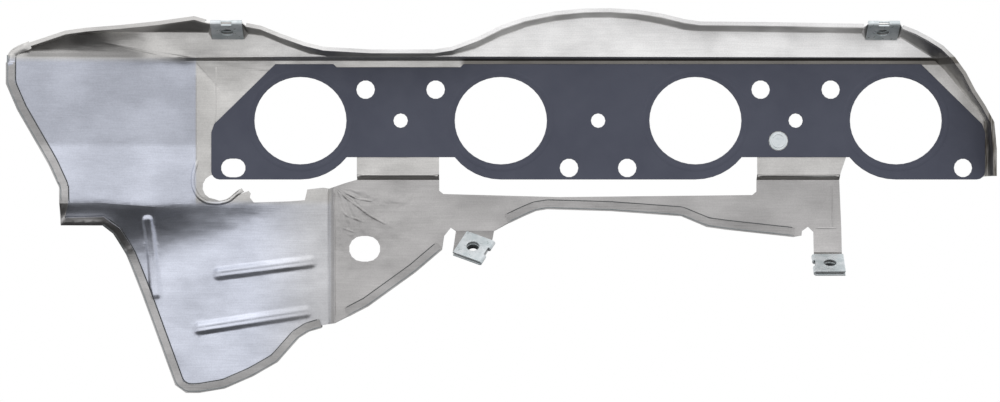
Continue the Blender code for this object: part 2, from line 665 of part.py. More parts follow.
def shield_sheet():
    # The main stamping: base, shelf, flange, left panel, beaded panel, triangle, strip and tabs.
    outline = sheet_outline()
    holes = joint_holes(HOLE_CLEARANCE) + list(window_outlines())
    holes.append(circle(RIVET_PLACE, RIVET_SHANK + 2 * GAP, 12))
    oval = slot_outline(OVAL_PLACE, OVAL_WIDTH, OVAL_HEIGHT, 7)
    holes.append(oval)
    flat, faces = flat_net(outline, holes, sheet_lines(), 14.0 * MM)
    bm, spot = net_mesh(flat, faces, lambda x, z: Vector((x, -depth_at(x, z), z)))
    foot, rim, outside, runs = rim_lines()

    def rim_place(flat_spot):
        x, z = carry(flat_spot, foot, rim)
        return Vector((x, -RIM_DEPTH, z))

    rim_edges = fold(bm, spot, border_edges(bm, spot, foot), rim_place)
    for first, last in runs:
        for back in (0.0, RIM_HEM):
            def hem_place(flat_spot, back=back):
                x, z = carry(flat_spot, foot, outside)
                return Vector((x, -RIM_DEPTH + back, z))

            edges = border_edges(bm, spot, foot[first:last + 1])
            edges = [edge for edge in edges if edge in rim_edges]
            rim_edges = [edge for edge in rim_edges if edge not in edges] + fold(bm, spot, edges, hem_place)
    for line in (mm(TRIANGLE_EDGE[1:]), mm(STRIP_EDGE)):
        inner = offset_line(line, HEM)

        def front(flat_spot):
            return Vector((flat_spot.x, -depth_at(flat_spot.x, flat_spot.z) - HEM_GAP, flat_spot.z))

        def inward(flat_spot, line=line, inner=inner):
            x, z = carry(flat_spot, line, inner)
            return Vector((x, -depth_at(x, z) - HEM_GAP - HEM_LIFT, z))

        fold(bm, spot, fold(bm, spot, border_edges(bm, spot, line), front), inward)
    obj = finish_sheet("heat_shield_sheet", bm, SHEET, (0.62, 0.62, 0.61), 0.9, 0.35)
    for index, frame in enumerate([top_frame(i) for i in NUT_SPANS] + [middle_frame(), right_frame()]):
        cutter = bolt_cutter(index, frame)
        cut = obj.modifiers.new("bolt_hole", "BOOLEAN")
        cut.operation = "DIFFERENCE"
        cut.solver = "EXACT"
        cut.object = cutter
    return obj


def bolt_cutter(index, frame):
    # A round cutter through a tab, under its nut's bore.
    origin, along, across, outward = frame
    bm = bmesh.new()
    radius = (NUT_BORE + BOLT_CLEARANCE) / 2
    bmesh.ops.create_cone(bm, cap_ends=True, segments=16, radius1=radius, radius2=radius, depth=6.0 * MM)
    turn = Matrix((along, across, outward)).transposed().to_4x4()
    bmesh.ops.transform(bm, matrix=Matrix.Translation(origin + along * BOLT_AT) @ turn, verts=bm.verts)
    bmesh.ops.recalc_face_normals(bm, faces=bm.faces)
    mesh = bpy.data.meshes.new("bolt_cutter")
    bm.to_mesh(mesh)
    bm.free()
    obj = bpy.data.objects.new("cut_bolt_hole_%d" % index, mesh)
    cutters.objects.link(obj)
    obj.display_type = "WIRE"
    obj.hide_render = True
    return obj


def skin_outline(inset):
    # Area of the skin and the mat: the left panel, the riser and the beaded panel.
    line = sheet_left_edge(inset)
    top = FOLD_Z - 1.5 * MM - inset
    right = LEFT_X - 3.5 * MM - inset
    inner = [(-146.0, -22.0), (-168.0, -23.0), (-186.0, -22.0)]
    points = [(line[0][0], top)] + [p for p in line if p[1] < top - 1 * MM]
    points = [p for p in points if p[0] < SEAM_X - 2.0 * MM - inset]
    points += [(SEAM_X - 3.0 * MM - inset, points[-1][1]), (SEAM_X - 3.0 * MM - inset, -22.0 * MM - inset)]
    points += [(x, z - inset) for x, z in mm(inner)]
    points += [(right, -20.0 * MM - inset), (right, top)]
    return points


def outer_skin():
    # Second skin behind the left side, hemmed forward over the sheet's edge.
    outline = skin_outline(0.0)
    behind = SHEET + MAT + 6 * GAP
    flat, faces = flat_net(outline, [], panel_lines(), 14.0 * MM)
    bm, spot = net_mesh(flat, faces, lambda x, z: Vector((x, -depth_at(x, z) + behind, z)))
    line = sheet_left_edge(0.0)
    inner = sheet_left_edge(HEM)

    def front(flat_spot):
        return Vector((flat_spot.x, -depth_at(flat_spot.x, flat_spot.z) - HEM_GAP, flat_spot.z))

    def inward(flat_spot):
        x, z = carry(flat_spot, line, inner)
        return Vector((x, -depth_at(x, z) - HEM_GAP - HEM_LIFT, z))

    edges = fold(bm, spot, border_edges(bm, spot, line), front)
    fold(bm, spot, edges, inward)
    return finish_sheet("shield_outer_skin", bm, SKIN, (0.55, 0.57, 0.62), 0.9, 0.4)


def insulation_mat():
    # Mat between the sheet and the skin.
    flat, faces = flat_net(skin_outline(MAT_INSET), [], panel_lines(), 14.0 * MM)
    behind = SHEET + 3 * GAP
    bm, spot = net_mesh(flat, faces, lambda x, z: Vector((x, -depth_at(x, z) + behind, z)))
    return finish_sheet("insulation_mat", bm, MAT, (0.5, 0.48, 0.42), 0.0, 0.9)


def rivet():
    # A headed pin turned about its own axis, flush in the gasket's windows.
    back = LAYER - RIVET_HEAD_HEIGHT
    front = FRONT_LAYER + RIVET_HEAD_HEIGHT
    profile = ((0.0, front), (RIVET_HEAD / 2, front), (RIVET_HEAD / 2, FRONT_LAYER),
               (RIVET_SHANK / 2, FRONT_LAYER), (RIVET_SHANK / 2, LAYER), (RIVET_HEAD / 2, LAYER),
               (RIVET_HEAD / 2, back), (0.0, back))
    mesh = bpy.data.meshes.new("rivet")
    edges = [(i, i + 1) for i in range(len(profile) - 1)]
    mesh.from_pydata([(radius, 0.0, height) for radius, height in profile], edges, [])
    obj = bpy.data.objects.new("rivet", mesh)
    parts.objects.link(obj)
    turn = obj.modifiers.new("turn", "SCREW")
    turn.axis = "Z"
    turn.steps = 20
    turn.render_steps = 20
    turn.use_merge_vertices = True
    turn.merge_threshold = 0.00001
    obj.rotation_euler = (math.radians(90), 0.0, 0.0)
    obj.location = (RIVET_PLACE[0], 0.0, RIVET_PLACE[1])
    add_material(obj, (0.6, 0.6, 0.62), 0.9, 0.35)
    return obj


def clip_nut(name, frame):
    # A strip with two bores and a slot, bent round the edge of its tab.
    origin, along, across, outward = frame
    half = math.pi * NUT_BEND / 2
    length = half + NUT_LEG
    wide = NUT_WIDTH / 2
    outline = [(-length, -wide), (length, -wide), (length, wide), (-length, wide)]
    bore_at = half + BOLT_AT
    holes = [circle((-bore_at, 0.0), NUT_BORE, 14), circle((bore_at, 0.0), NUT_BORE, 14)]
    slot = NUT_SLOT / 2
    steps = 6
    bends = [-half + 2 * half * i / steps for i in range(steps + 1)]
    holes.append([(s, -slot) for s in bends] + [(s, slot) for s in bends[::-1]])
    outline = [(-length, -wide)] + [(s, -wide) for s in bends] + [(length, -wide), (length, wide)]
    outline += [(s, wide) for s in bends[::-1]] + [(-length, wide)]
    lines = []
    for s in bends:
        lines.append([(s, -wide), (s, -slot)])
        lines.append([(s, slot), (s, wide)])

    def place(s, v):
        angle = max(-half, min(half, s)) / NUT_BEND
        u = -NUT_BEND * math.cos(angle) + max(0.0, abs(s) - half)
        w = -NUT_BEND * math.sin(angle)
        return origin + along * u + across * v + outward * w

    flat, faces = flat_net(outline, holes, lines, 0)
    bm, spot = net_mesh(flat, faces, place)
    bmesh.ops.recalc_face_normals(bm, faces=bm.faces)
    mesh = bpy.data.meshes.new(name)
    bm.to_mesh(mesh)
    bm.free()
    obj = bpy.data.objects.new(name, mesh)
    parts.objects.link(obj)
    shell = obj.modifiers.new("thickness", "SOLIDIFY")
    shell.thickness = NUT_SHEET
    shell.offset = 0.0
    shell.use_even_offset = True
    add_material(obj, (0.64, 0.68, 0.69), 0.9, 0.3)
    return obj


for old in list(bpy.data.objects):
    bpy.data.objects.remove(old, do_unlink=True)

parts = bpy.data.collections.new("manifold_gasket_heat_shield")
cutters = bpy.data.collections.new("cutters")
bpy.context.scene.collection.children.link(parts)
bpy.context.scene.collection.children.link(cutters)

gasket_layer("gasket_rear_layer", LAYER)
gasket_layer("gasket_front_layer", FRONT_FACE)
shield_sheet()
outer_skin()
insulation_mat()
rivet()
clip_nut("clip_nut_top_left", top_frame(NUT_SPANS[0]))
clip_nut("clip_nut_top_right", top_frame(NUT_SPANS[1]))
clip_nut("clip_nut_lower_middle", middle_frame())
clip_nut("clip_nut_lower_right", right_frame())
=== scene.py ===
import json
import math

import bmesh
import bpy
import numpy as np
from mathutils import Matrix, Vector
from mathutils.bvhtree import BVHTree


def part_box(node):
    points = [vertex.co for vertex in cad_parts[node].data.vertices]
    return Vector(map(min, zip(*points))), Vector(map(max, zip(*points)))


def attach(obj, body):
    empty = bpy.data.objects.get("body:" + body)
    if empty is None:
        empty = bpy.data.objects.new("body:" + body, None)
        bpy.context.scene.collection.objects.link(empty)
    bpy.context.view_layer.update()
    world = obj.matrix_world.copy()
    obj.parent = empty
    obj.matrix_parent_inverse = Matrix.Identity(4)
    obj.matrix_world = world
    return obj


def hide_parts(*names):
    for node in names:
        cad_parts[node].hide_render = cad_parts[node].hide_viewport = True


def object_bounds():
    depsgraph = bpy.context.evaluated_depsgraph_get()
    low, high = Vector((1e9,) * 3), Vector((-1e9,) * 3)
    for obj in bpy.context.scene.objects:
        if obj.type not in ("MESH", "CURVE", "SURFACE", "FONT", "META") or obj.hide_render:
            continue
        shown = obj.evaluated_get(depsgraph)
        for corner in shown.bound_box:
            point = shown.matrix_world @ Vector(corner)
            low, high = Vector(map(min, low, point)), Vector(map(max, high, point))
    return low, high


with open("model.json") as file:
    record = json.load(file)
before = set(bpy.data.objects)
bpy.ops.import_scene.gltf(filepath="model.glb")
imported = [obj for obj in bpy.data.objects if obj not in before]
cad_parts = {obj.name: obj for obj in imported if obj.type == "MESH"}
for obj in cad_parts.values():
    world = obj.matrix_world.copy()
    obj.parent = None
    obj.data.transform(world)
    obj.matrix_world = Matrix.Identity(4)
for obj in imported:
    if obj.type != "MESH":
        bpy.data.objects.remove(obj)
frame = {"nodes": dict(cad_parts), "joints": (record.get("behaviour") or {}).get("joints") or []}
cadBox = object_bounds()
mm = 0.001


# Camera: straight on to the gasket, framed as the photograph is
cameraLook = {"distance": 1.8, "width": 0.4844, "centreX": -0.0475, "centreZ": -0.016}


def addCamera(look):
    data = bpy.data.cameras.new("camera")
    data.sensor_width = 36.0
    data.lens = 36.0 * look["distance"] / look["width"]
    data.clip_end = 50.0
    camera = bpy.data.objects.new("camera", data)
    camera.location = (look["centreX"], -look["distance"], look["centreZ"])
    camera.rotation_euler = (math.radians(90), 0.0, 0.0)
    bpy.context.scene.collection.objects.link(camera)
    bpy.context.scene.camera = camera


# Light: bright from above and in front, dark straight below, white to the camera
lightLook = {"below": 0.015, "dim": 0.2, "low": 0.92, "level": 0.88, "above": 0.98, "blue": 1.02,
             "behind": 0.08, "backFade": (-0.1, 0.5), "lowFade": (-0.45, -0.05)}
softboxLook = {
    "top": {"place": (-0.1, -0.9, 1.5), "aim": (-0.05, 0.0, 0.0), "size": 1.6, "power": 4.0},
    "front": {"place": (-0.6, -1.6, 0.5), "aim": (-0.05, 0.0, 0.0), "size": 1.2, "power": 1.2},
}


def addWorld(look):
    world = bpy.data.worlds.new("studio")
    bpy.context.scene.world = world
    world.use_nodes = True
    nodes, links = world.node_tree.nodes, world.node_tree.links
    nodes.clear()
    coords = nodes.new("ShaderNodeTexCoord")
    split = nodes.new("ShaderNodeSeparateXYZ")
    spread = nodes.new("ShaderNodeMapRange")
    spread.inputs["From Min"].default_value = -1.0
    ramp = nodes.new("ShaderNodeValToRGB")
    ramp.color_ramp.interpolation = "EASE"
    stops = ((0.0, look["below"]), (0.1, look["below"]), (0.2, look["dim"]), (0.34, look["low"]),
             (0.52, look["level"]), (1.0, look["above"]))
    while len(ramp.color_ramp.elements) < len(stops):
        ramp.color_ramp.elements.new(0.5)
    for element, (place, level) in zip(ramp.color_ramp.elements, stops):
        element.position = place
        element.color = (level, level, level * look["blue"], 1.0)
    soft = nodes.new("ShaderNodeBackground")
    white = nodes.new("ShaderNodeBackground")
    white.inputs["Color"].default_value = (1.0, 1.0, 1.0, 1.0)
    rays = nodes.new("ShaderNodeLightPath")
    mix = nodes.new("ShaderNodeMixShader")
    out = nodes.new("ShaderNodeOutputWorld")
    links.new(coords.outputs["Generated"], split.inputs[0])
    links.new(split.outputs["Z"], spread.inputs["Value"])
    links.new(spread.outputs["Result"], ramp.inputs["Fac"])
    # Dark where the light would come from both low and behind
    lowBehind = nodes.new("ShaderNodeMath")
    lowBehind.operation = "MAXIMUM"
    fades = (("Y", *look["backFade"], 1.0, look["behind"]), ("Z", *look["lowFade"], look["behind"], 1.0))
    for index, (axis, low, high, first, last) in enumerate(fades):
        fade = nodes.new("ShaderNodeMapRange")
        for name, number in (("From Min", low), ("From Max", high), ("To Min", first), ("To Max", last)):
            fade.inputs[name].default_value = number
        links.new(split.outputs[axis], fade.inputs["Value"])
        links.new(fade.outputs["Result"], lowBehind.inputs[index])
    links.new(lowBehind.outputs[0], soft.inputs["Strength"])
    links.new(ramp.outputs["Color"], soft.inputs["Color"])
    links.new(rays.outputs["Is Camera Ray"], mix.inputs["Fac"])
    links.new(soft.outputs[0], mix.inputs[1])
    links.new(white.outputs[0], mix.inputs[2])
    links.new(mix.outputs[0], out.inputs["Surface"])


def addSoftbox(name, look):
    data = bpy.data.lights.new(name, "AREA")
    data.energy = look["power"]
    data.size = look["size"]
    light = bpy.data.objects.new(name, data)
    light.location = look["place"]
    away = Vector(look["aim"]) - Vector(look["place"])
    light.rotation_euler = away.to_track_quat("-Z", "Y").to_euler()
    bpy.context.scene.collection.objects.link(light)


# Materials
class Paint:
    # A Principled material with helpers for noise on Object coordinates.
    def __init__(self, name, colour, metallic, roughness):
        self.material = bpy.data.materials.new(name)
        self.material.use_nodes = True
        self.nodes, self.links = self.material.node_tree.nodes, self.material.node_tree.links
        self.shader = self.nodes["Principled BSDF"]
        self.shader.inputs["Base Color"].default_value = (*colour, 1.0)
        self.shader.inputs["Metallic"].default_value = metallic
        self.shader.inputs["Roughness"].default_value = roughness
        self.coords = self.nodes.new("ShaderNodeTexCoord")

    def noise(self, scale, stretch=(1, 1, 1), detail=4.0):
        mapping = self.nodes.new("ShaderNodeMapping")
        mapping.inputs["Scale"].default_value = stretch
        texture = self.nodes.new("ShaderNodeTexNoise")
        texture.inputs["Scale"].default_value = scale
        texture.inputs["Detail"].default_value = detail
        self.links.new(self.coords.outputs["Object"], mapping.inputs["Vector"])
        self.links.new(mapping.outputs[0], texture.inputs["Vector"])
        return texture.outputs["Fac"]

    def mixed(self, share, first, second):
        # Two colours blended by a socket.
        mix = self.nodes.new("ShaderNodeMix")
        mix.data_type = "RGBA"
        self.links.new(share, mix.inputs["Factor"])
        for socket, value in ((mix.inputs[6], first), (mix.inputs[7], second)):
            if isinstance(value, tuple):
                socket.default_value = (*value, 1.0)
            else:
                self.links.new(value, socket)
        return mix.outputs[2]

    def ranged(self, value, low, high, first=0.0, last=1.0):
        spread = self.nodes.new("ShaderNodeMapRange")
        spread.interpolation_type = "SMOOTHSTEP"
        for name, number in (("From Min", low), ("From Max", high), ("To Min", first), ("To Max", last)):
            spread.inputs[name].default_value = number
        self.links.new(value, spread.inputs["Value"])
        return spread.outputs["Result"]

    def joined(self, operation, first, second=0.0):
        # Two sockets or numbers under one operation.
        node = self.nodes.new("ShaderNodeMath")
        node.operation = operation
        for socket, value in ((node.inputs[0], first), (node.inputs[1], second)):
            if isinstance(value, float):
                socket.default_value = value
            else:
                self.links.new(value, socket)
        return node.outputs[0]

    def step(self, value, edge, soft):
        return self.ranged(value, edge - soft, edge + soft)

    def fan(self, x, z, look):
        # Wrinkles that spread from one corner: a wave of the angle about it, fading away from it.
        right = self.joined("SUBTRACT", x, look["fanX"])
        down = self.joined("SUBTRACT", look["fanZ"], z)
        angle = self.joined("ARCTAN2", down, right)
        drift = self.joined("MULTIPLY", self.noise(look["fanNoise"]), look["fanUneven"])
        uneven = self.joined("ADD", angle, drift)
        wave = self.joined("SINE", self.joined("MULTIPLY", uneven, look["fanCount"]))
        far = self.joined("ADD", self.joined("MULTIPLY", right, right), self.joined("MULTIPLY", down, down))
        fade = self.ranged(self.joined("SQRT", far), look["fanStart"], look["fanReach"], 1.0, 0.0)
        fade = self.joined("MULTIPLY", fade, self.step(right, 0.0, look["fanSoft"]))
        fade = self.joined("MULTIPLY", fade, self.step(down, look["fanDrop"], look["fanDrop"]))
        return self.joined("MULTIPLY", wave, self.joined("MULTIPLY", fade, look["fanRise"]))

    def place(self, axis):
        split = self.nodes.new("ShaderNodeSeparateXYZ")
        self.links.new(self.coords.outputs["Object"], split.inputs[0])
        return split.outputs[axis]

    def colour(self, socket):
        self.links.new(socket, self.shader.inputs["Base Color"])

    def rough(self, socket):
        self.links.new(socket, self.shader.inputs["Roughness"])

    def bump(self, height, strength, distance):
        node = self.nodes.new("ShaderNodeBump")
        node.inputs["Strength"].default_value = strength
        node.inputs["Distance"].default_value = distance
        self.links.new(height, node.inputs["Height"])
        self.links.new(node.outputs[0], self.shader.inputs["Normal"])


def gasketPaint():
    paint = Paint("gasketCoating", (0.06, 0.066, 0.093), 0.1, 0.5)
    cloud = paint.ranged(paint.noise(28.0), 0.3, 0.7)
    paint.colour(paint.mixed(cloud, (0.056, 0.062, 0.092), (0.068, 0.075, 0.107)))
    paint.rough(paint.ranged(paint.noise(160.0), 0.3, 0.7, 0.45, 0.55))
    paint.bump(paint.noise(900.0), 0.1, 0.0002)
    return paint.material


# Rolled sheet: a cool tone on the left panels that is a painted bluish reflection, a warm one on the rest, and
# wrinkles fanned out from a corner
steelLook = {
    "warm": (0.6, 0.59, 0.568), "cool": (0.66, 0.69, 0.775), "lower": (0.47, 0.46, 0.45),
    "rimShade": (0.24, 0.235, 0.23), "wall": (0.86, 0.855, 0.84), "stainAndShade": (0.1, 0.09, 0.075),
    "edgeSoft": 0.0006, "panelX": -0.1947, "panelZ": -0.017, "panelSoft": 0.002, "seamX": -0.1295, "foldZ": 0.052,
    "bendZ": 0.011, "bendSoft": 0.0016, "bendShade": 0.78, "blendX": (-0.172, -0.132), "blendShare": 0.7,
    "endX": 0.1866, "endSoft": 0.0008, "endZ": (0.05, 0.02), "wallZ": 0.0532, "wallX": (-0.2, -0.1),
    "lowerZ": (-0.004, -0.007), "bandStart": (-0.007, -0.0085), "bandEnd": (-0.0188, -0.0176), "bandShare": 0.7,
    "sideX": 0.164, "sideSoft": 0.009, "sideY": (-0.005, -0.008), "sideShare": 0.55,
    "lineZ": 0.0499, "lineX": -0.066, "lineSoft": 0.0003, "lineTop": (0.0532, 0.0526), "lineShare": 0.8,
    "fanX": -0.1274, "fanZ": -0.0092, "fanStart": 0.004, "fanReach": 0.06, "fanCount": 19.0, "fanRise": 1.3,
    "fanNoise": 45.0, "fanUneven": 1.1, "fanSoft": 0.002, "fanDrop": 0.003,
}


def steelPaint(name, look, dull):
    paint = Paint(name, look["warm"], 0.92, 0.4)
    x, y, z = (paint.place(axis) for axis in "XYZ")
    warm, cool, low = (tuple(dull * c for c in look[tone]) for tone in ("warm", "cool", "lower"))
    pastPanel = paint.step(x, look["panelX"], look["edgeSoft"])
    pastSeam = paint.step(x, look["seamX"], look["edgeSoft"])
    onWall = paint.step(z, look["wallZ"], look["edgeSoft"])
    isWarm = paint.joined("MULTIPLY", pastPanel, paint.step(z, look["panelZ"], look["panelSoft"]))
    isWarm = paint.joined("MAXIMUM", isWarm, pastSeam)
    isWarm = paint.joined("MAXIMUM", isWarm, paint.step(z, look["foldZ"], look["panelSoft"]))
    # Painted shade: above its bend the left panel gets a darker copy of the cool tone
    shadedCool = tuple(look["bendShade"] * c for c in cool)
    upper = paint.mixed(paint.step(z, look["bendZ"], look["bendSoft"]), cool, shadedCool)
    # Painted reflection: the left panels' cool tone stands for a bluish reflection, partly blended into the warm
    # tone towards the seam
    upper = paint.mixed(paint.ranged(x, *look["blendX"], 0.0, look["blendShare"]), upper, warm)
    tone = paint.mixed(isWarm, upper, warm)
    # Stained right end, a painted highlight on the bright top wall and a duller lower strip
    stainAndShade = paint.step(x, look["endX"], look["endSoft"])
    stainAndShade = paint.joined("MULTIPLY", stainAndShade, paint.ranged(z, *look["endZ"]))
    streaks = paint.ranged(paint.noise(300.0, (3.0, 1.0, 0.25)), 0.35, 0.6)
    tone = paint.mixed(paint.joined("MULTIPLY", stainAndShade, streaks), tone, look["stainAndShade"])
    tone = paint.mixed(paint.joined("MULTIPLY", onWall, paint.ranged(x, *look["wallX"])), tone, look["wall"])
    tone = paint.mixed(paint.joined("MULTIPLY", paint.ranged(z, *look["lowerZ"]), pastSeam), tone, low)
    # Painted shade: a dark band under the rim, a shaded right side and a painted shadow line along the shelf
    rimShade = paint.joined("MULTIPLY", paint.ranged(y, *look["bandStart"]), paint.ranged(y, *look["bandEnd"]))
    rimShade = paint.joined("MULTIPLY", rimShade, onWall)
    tone = paint.mixed(paint.joined("MULTIPLY", rimShade, look["bandShare"]), tone, look["rimShade"])
    side = paint.step(x, look["sideX"], look["sideSoft"])
    side = paint.joined("MULTIPLY", side, paint.ranged(y, *look["sideY"]))
    tone = paint.mixed(paint.joined("MULTIPLY", side, look["sideShare"]), tone, look["stainAndShade"])
    # Painted shadow line where the shelf meets the gasket's top
    line = paint.step(z, look["lineZ"], look["lineSoft"])
    line = paint.joined("MULTIPLY", line, paint.ranged(z, *look["lineTop"]))
    line = paint.joined("MULTIPLY", line, paint.step(x, look["lineX"], look["panelSoft"]))
    tone = paint.mixed(paint.joined("MULTIPLY", line, look["lineShare"]), tone, look["stainAndShade"])
    shade = paint.nodes.new("ShaderNodeHueSaturation")
    cloud = paint.ranged(paint.noise(34.0, (1.0, 1.0, 1.4), 6.0), 0.3, 0.7, 0.87, 1.07)
    grain = paint.noise(70.0, (1.0, 8.0, 26.0), 6.0)
    speckle = paint.noise(1500.0, (1.0, 1.0, 1.0), 2.0)
    worn = paint.joined("MULTIPLY", cloud, paint.ranged(grain, 0.3, 0.7, 0.96, 1.03))
    worn = paint.joined("MULTIPLY", worn, paint.ranged(speckle, 0.3, 0.7, 0.95, 1.04))
    paint.links.new(worn, shade.inputs["Value"])
    paint.links.new(tone, shade.inputs["Color"])
    paint.colour(shade.outputs["Color"])
    paint.rough(paint.ranged(cloud, 0.87, 1.07, 0.42, 0.31))
    waves = paint.ranged(paint.noise(48.0, (1.0, 1.0, 1.3), 2.0), 0.0, 1.0, 0.0, 3.2)
    fine = paint.joined("MULTIPLY", grain, 0.25)
    height = paint.joined("ADD", paint.joined("ADD", waves, fine), paint.fan(x, z, look))
    paint.bump(height, 0.35, 0.0006)
    return paint.material


def zincPaint(name, dark):
    paint = Paint(name, (0.62, 0.66, 0.67), 0.45, 0.38)
    cloud = paint.ranged(paint.noise(240.0), 0.35, 0.65)
    low, high = (tuple(dark * c for c in tone) for tone in ((0.6, 0.66, 0.67), (0.76, 0.8, 0.81)))
    paint.colour(paint.mixed(cloud, low, high))
    paint.rough(paint.ranged(paint.noise(420.0), 0.3, 0.7, 0.26, 0.42))
    paint.bump(paint.noise(700.0), 0.1, 0.0002)
    return paint.material


def matPaint():
    paint = Paint("mineralMat", (0.5, 0.48, 0.42), 0.0, 0.95)
    fibre = paint.noise(500.0, (1.0, 1.0, 6.0))
    paint.colour(paint.mixed(fibre, (0.36, 0.34, 0.3), (0.62, 0.6, 0.54)))
    paint.bump(fibre, 0.5, 0.001)
    return paint.material


# Left panels: cut fine, bends eased, and the three beads pressed anew
softLook = {"cut": 2.4 * mm, "beadCut": 0.9 * mm, "front": 0.3 * mm, "grid": 1.0 * mm,
            "left": -0.2845, "right": -0.1326, "top": 0.038, "bottom": -0.1095,
            "foldTop": 0.0575, "foldFade": 0.003, "foldX": -0.188, "foldRun": 0.012,
            "wide": 5.0 * mm, "narrow": 2.2 * mm, "riserZ": -0.019, "riserRun": 0.008, "fade": 0.004,
            "clear": 5.4 * mm, "groove": 0.32, "grooveHalf": 0.26,
            "endDrop": 0.45, "frameUpright": ((-0.2169, -0.0410), (-0.2140, -0.0570)), "frameBeadTop": -0.0362,
            "join": 0.2 * mm, "gridPast": 0.01, "gridAbove": 0.008, "rightPast": 0.001, "rounds": 9}
# Each bead: one end, the other end, half width, height
pressedBeads = {
    "upper": ((-0.1841, -0.0513), (-0.1395, -0.0456), 3.8 * mm, 2.0 * mm),
    "lower": ((-0.1937, -0.0779), (-0.1420, -0.0700), 3.8 * mm, 2.0 * mm),
    "upright": ((-0.2180, -0.0255), (-0.2149, -0.0610), 3.4 * mm, 2.6 * mm),
}


def frontSpot(tree, x, z):
    # Where a ray from the viewer's side first meets the tree.
    return tree.ray_cast(Vector((x, -1.0, z)), Vector((0.0, 1.0, 0.0)))[0]


def besideLine(x, z, start, end):
    # Share along the line, and the distance from it as across and as a whole.
    (ax, az), (bx, bz) = start, end
    length = math.hypot(bx - ax, bz - az)
    along = ((x - ax) * (bx - ax) + (z - az) * (bz - az)) / length
    across = ((x - ax) * (bz - az) - (z - az) * (bx - ax)) / length
    past = np.maximum(np.maximum(-along, along - length), 0.0)
    return along / length, across, np.hypot(across, past)


def blurred(field, size):
    # A bell curve's mean along each side of the grid.
    reach = int(3 * size) + 1
    bell = np.exp(-0.5 * (np.arange(-reach, reach + 1) / size) ** 2)
    for axis in (0, 1):
        field = np.apply_along_axis(lambda line: np.convolve(line, bell / bell.sum(), "same"), axis, field)
    return field


def pressShare(look, x, z):
    # How much of the pressing counts at a place: all on the left panels, none past their edges.
    low = np.clip((look["top"] - z) / look["fade"], 0.0, 1.0)
    fold = np.clip((look["foldTop"] - z) / look["foldFade"], 0.0, 1.0)
    fold = fold * np.clip((look["foldX"] - x) / look["foldRun"], 0.0, 1.0)
    return np.maximum(low, fold) * np.clip((look["right"] - x) / look["fade"], 0.0, 1.0)


def pressField(look):
    # The eased depth over a grid without its beads, and a tree to read the frame's own depth.
    source = frame["nodes"]["heat_shield_sheet"].data
    tree = BVHTree.FromPolygons([v.co for v in source.vertices], [p.vertices for p in source.polygons])
    xs = np.arange(look["left"], look["right"] + look["gridPast"], look["grid"])
    zs = np.arange(look["bottom"] - look["gridPast"], look["foldTop"] + look["gridAbove"], look["grid"])
    own = np.full((len(xs), len(zs)), np.nan)
    for i, x in enumerate(xs):
        for k, z in enumerate(zs):
            spot = frontSpot(tree, x, z)
            if spot:
                own[i, k] = spot.y
    x, z = np.meshgrid(xs, zs, indexing="ij")
    there = ~np.isnan(own) & (x < look["right"] + look["rightPast"])
    clear = there.copy()
    for start, end in [bead[:2] for bead in pressedBeads.values()] + [look["frameUpright"]]:
        clear &= (besideLine(x, z, start, end)[2] > look["clear"]) | (z > look["frameBeadTop"])
    depth = np.where(there, own, 0.0)

    def eased(mask, size):
        size = size / look["grid"]
        return blurred(depth * mask, size) / np.maximum(blurred(mask.astype(float), size), 1e-6)

    low = np.clip((look["riserZ"] - z) / look["riserRun"], 0.0, 1.0)
    target = low * eased(clear, look["wide"]) + (1.0 - low) * eased(there, look["narrow"])
    return xs, zs, target, tree


def beadRise(look, x, z):
    # A squared parabola across each bead less a bell-shaped groove along it, lower towards the second end.
    total = 0.0 * x
    for start, end, half, rise in pressedBeads.values():
        share, across, away = besideLine(x, z, start, end)
        side = (1.0 - np.minimum(away / half, 1.0) ** 2) ** 2
        groove = look["groove"] * np.exp(-(across / (look["grooveHalf"] * half)) ** 2)
        total = total + rise * side * (1.0 - groove) * (1.0 - look["endDrop"] * np.clip(share, 0.0, 1.0))
    return total


def easeBends(bm, look, press):
    # Cuts the zone fine, finest on the beads, and moves each point from the frame's depth to the eased one.
    def inZone(x, z):
        return (x > look["left"]) & (pressShare(look, x, z) > 0.0)

    bmesh.ops.remove_doubles(bm, verts=[v for v in bm.verts if inZone(v.co.x, v.co.z)], dist=look["join"])
    for _ in range(look["rounds"]):
        ends = np.array([[end.co for end in e.verts] for e in bm.edges])
        size = np.linalg.norm(ends[:, 0] - ends[:, 1], axis=1)
        x, z = ends[:, :, 0].mean(1), ends[:, :, 2].mean(1)
        longest = np.where(beadRise(look, x, z) > 0.0, look["beadCut"], look["cut"])
        tooLong = inZone(x, z) & (size > longest)
        if not tooLong.any():
            break
        bmesh.ops.subdivide_edges(bm, edges=[e for e, cut in zip(bm.edges, tooLong) if cut], cuts=1)
        bmesh.ops.triangulate(bm, faces=[f for f in bm.faces if len(f.verts) > 3])
    xs, zs, target, tree = press
    spots = np.array([v.co for v in bm.verts])
    shares = pressShare(look, spots[:, 0], spots[:, 2])
    rises = beadRise(look, spots[:, 0], spots[:, 2])
    for vertex, (x, y, z), share, rise in zip(bm.verts, spots, shares, rises):
        if share > 0.0:
            u = min(max((x - xs[0]) / look["grid"], 0.0), len(xs) - 1.001)
            v = min(max((z - zs[0]) / look["grid"], 0.0), len(zs) - 1.001)
            i, k = int(u), int(v)
            u, v = u - i, v - k
            near = (1 - v) * target[i, k] + v * target[i, k + 1]
            far = (1 - v) * target[i + 1, k] + v * target[i + 1, k + 1]
            own = frontSpot(tree, x, z) or tree.find_nearest(vertex.co)[0]
            base = y if abs(y - own.y) < look["front"] else own.y
            vertex.co.y = min(y + share * ((1 - u) * near + u * far - rise - base), cadBox[1][1])


